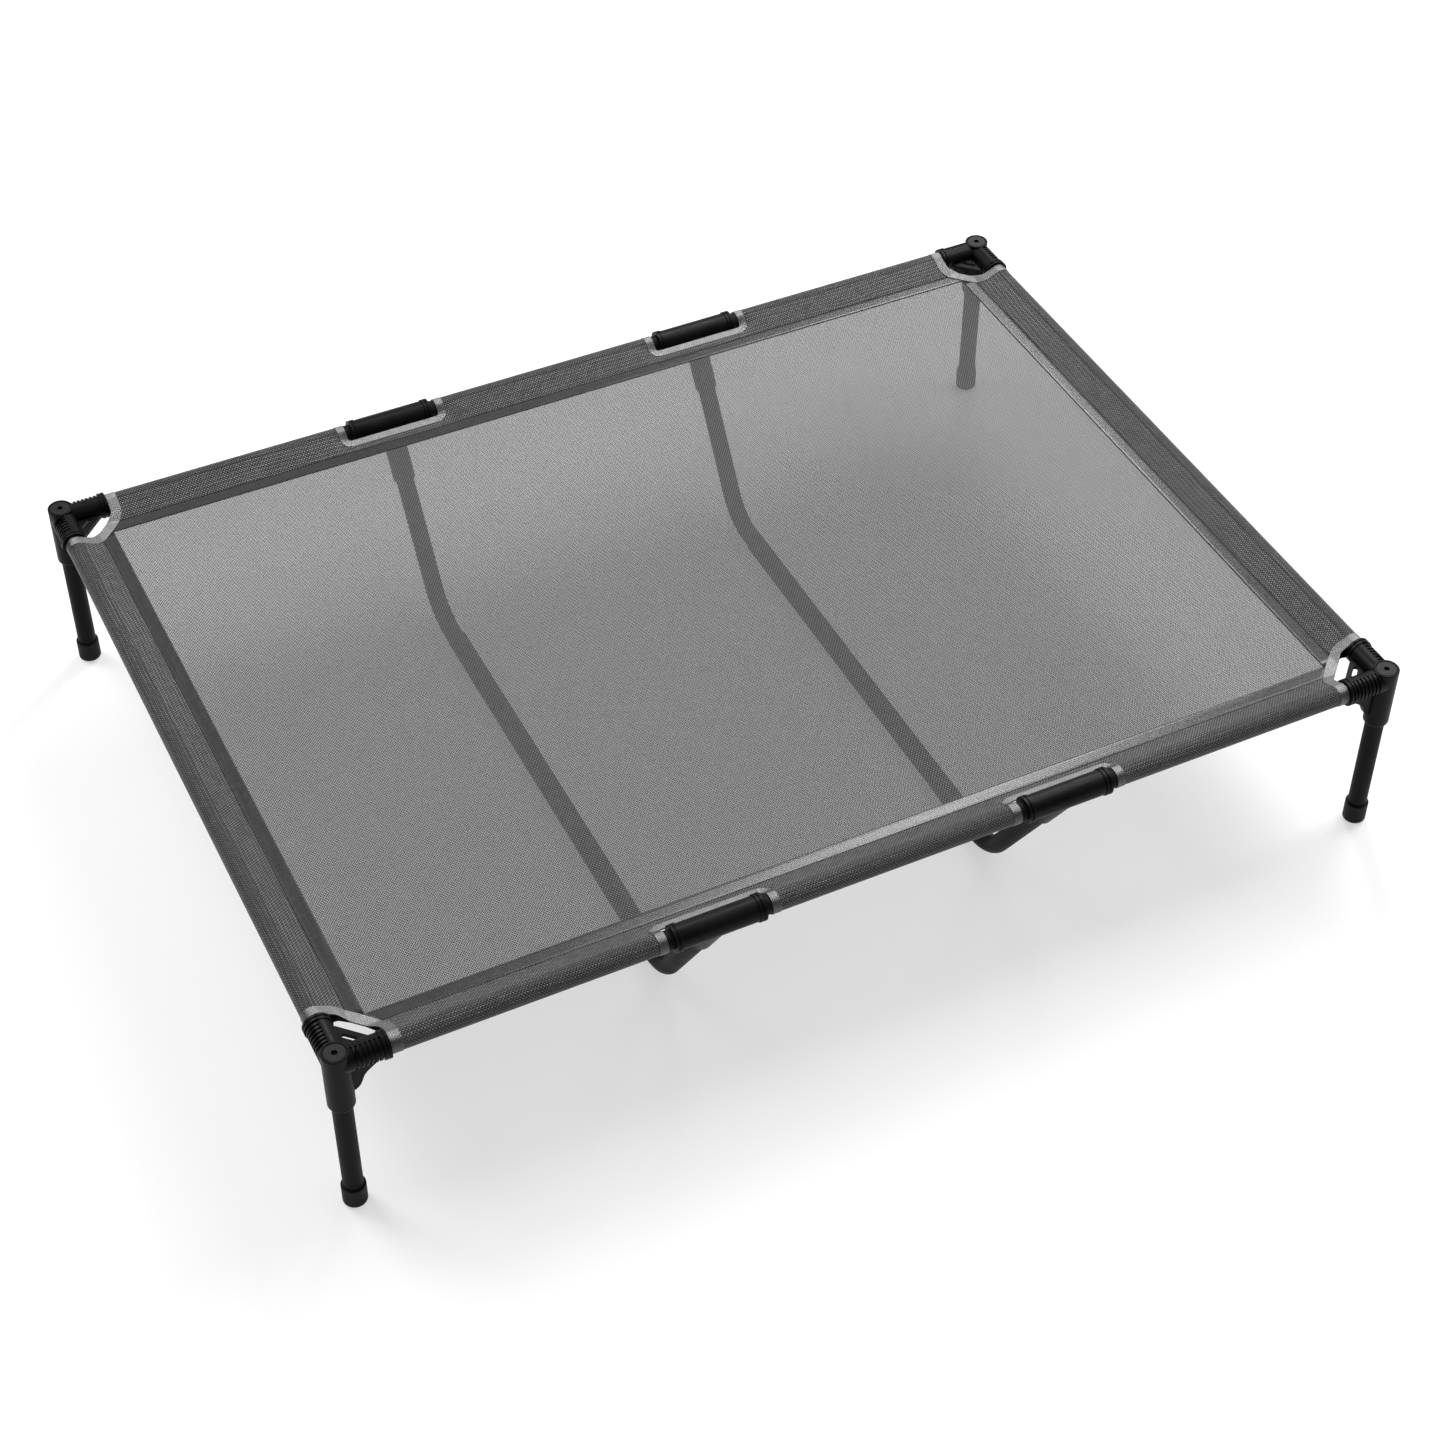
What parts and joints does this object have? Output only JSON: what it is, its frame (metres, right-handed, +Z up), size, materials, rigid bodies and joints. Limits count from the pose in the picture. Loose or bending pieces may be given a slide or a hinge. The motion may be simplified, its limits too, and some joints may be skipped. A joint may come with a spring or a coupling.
{
  "type": "raised dog bed",
  "caption": "Low rectangular pet cot: open mesh stretched over a black tube frame on corner legs, with slanted cross bars resting on the floor.",
  "frame": {"origin": "on the floor, under the middle of the bed", "axes": "+X along the long side, +Y to the rear along the short side, +Z up"},
  "size_m": [1.2236, 0.9086, 0.2283],
  "materials": {
    "moulded_plastic": "satin injection-moulded black plastic",
    "coated_tube": "matt black powder coat on steel tube",
    "insert_plastic": "plain black plastic",
    "bolt_black": "black-finished steel",
    "foot_rubber": "soft black rubber",
    "open_mesh": "open dark grey mesh of coated yarn, see-through",
    "hem_cloth": "the same mesh in two layers, nearly opaque",
    "weld_tape": "smooth pressed tape over the weld",
    "edge_binding": "lighter grey woven binding"
  },
  "bodies": {
    "frame": {"corner_connector_front_left": "moulded_plastic", "leg_front_left": "coated_tube", "leg_insert_front_left": "insert_plastic", "foot_cap_front_left": "foot_rubber", "corner_binding_front_left": "edge_binding", "tee_connector_front_left": "moulded_plastic", "cross_bar_end_front_left": "coated_tube", "notch_binding_front_left": "edge_binding", "outer_rail_front_left": "coated_tube", "corner_connector_front_right": "moulded_plastic", "leg_front_right": "coated_tube", "leg_insert_front_right": "insert_plastic", "foot_cap_front_right": "foot_rubber", "corner_binding_front_right": "edge_binding", "tee_connector_front_right": "moulded_plastic", "cross_bar_end_front_right": "coated_tube", "notch_binding_front_right": "edge_binding", "outer_rail_front_right": "coated_tube", "corner_connector_rear_left": "moulded_plastic", "leg_rear_left": "coated_tube", "leg_insert_rear_left": "insert_plastic", "foot_cap_rear_left": "foot_rubber", "corner_binding_rear_left": "edge_binding", "tee_connector_rear_left": "moulded_plastic", "cross_bar_end_rear_left": "coated_tube", "notch_binding_rear_left": "edge_binding", "outer_rail_rear_left": "coated_tube", "corner_connector_rear_right": "moulded_plastic", "leg_rear_right": "coated_tube", "leg_insert_rear_right": "insert_plastic", "foot_cap_rear_right": "foot_rubber", "corner_binding_rear_right": "edge_binding", "tee_connector_rear_right": "moulded_plastic", "cross_bar_end_rear_right": "coated_tube", "notch_binding_rear_right": "edge_binding", "outer_rail_rear_right": "coated_tube", "middle_rail_front": "coated_tube", "hem_front": "hem_cloth", "weld_tape_front": "weld_tape", "middle_rail_rear": "coated_tube", "hem_rear": "hem_cloth", "weld_tape_rear": "weld_tape", "end_rail_left": "coated_tube", "cross_bar_left": "coated_tube", "hem_left": "hem_cloth", "weld_tape_left": "weld_tape", "end_rail_right": "coated_tube", "cross_bar_right": "coated_tube", "hem_right": "hem_cloth", "weld_tape_right": "weld_tape", "mesh_panel": "open_mesh"},
    "bolt_front_left": {"leg_bolt_front_left": "bolt_black"},
    "bolt_front_right": {"leg_bolt_front_right": "bolt_black"},
    "bolt_rear_left": {"leg_bolt_rear_left": "bolt_black"},
    "bolt_rear_right": {"leg_bolt_rear_right": "bolt_black"}
  },
  "joints": [
    {"name": "bolt_turn_front_left", "type": "hinge", "parent": "frame", "child": "bolt_front_left", "pos_m": [-0.597, -0.4395, 0.2], "axis": [0, 0, 1], "continuous": true},
    {"name": "bolt_turn_front_right", "type": "hinge", "parent": "frame", "child": "bolt_front_right", "pos_m": [0.597, -0.4395, 0.2], "axis": [0, 0, 1], "continuous": true},
    {"name": "bolt_turn_rear_left", "type": "hinge", "parent": "frame", "child": "bolt_rear_left", "pos_m": [-0.597, 0.4395, 0.2], "axis": [0, 0, 1], "continuous": true},
    {"name": "bolt_turn_rear_right", "type": "hinge", "parent": "frame", "child": "bolt_rear_right", "pos_m": [0.597, 0.4395, 0.2], "axis": [0, 0, 1], "continuous": true}
  ]
}
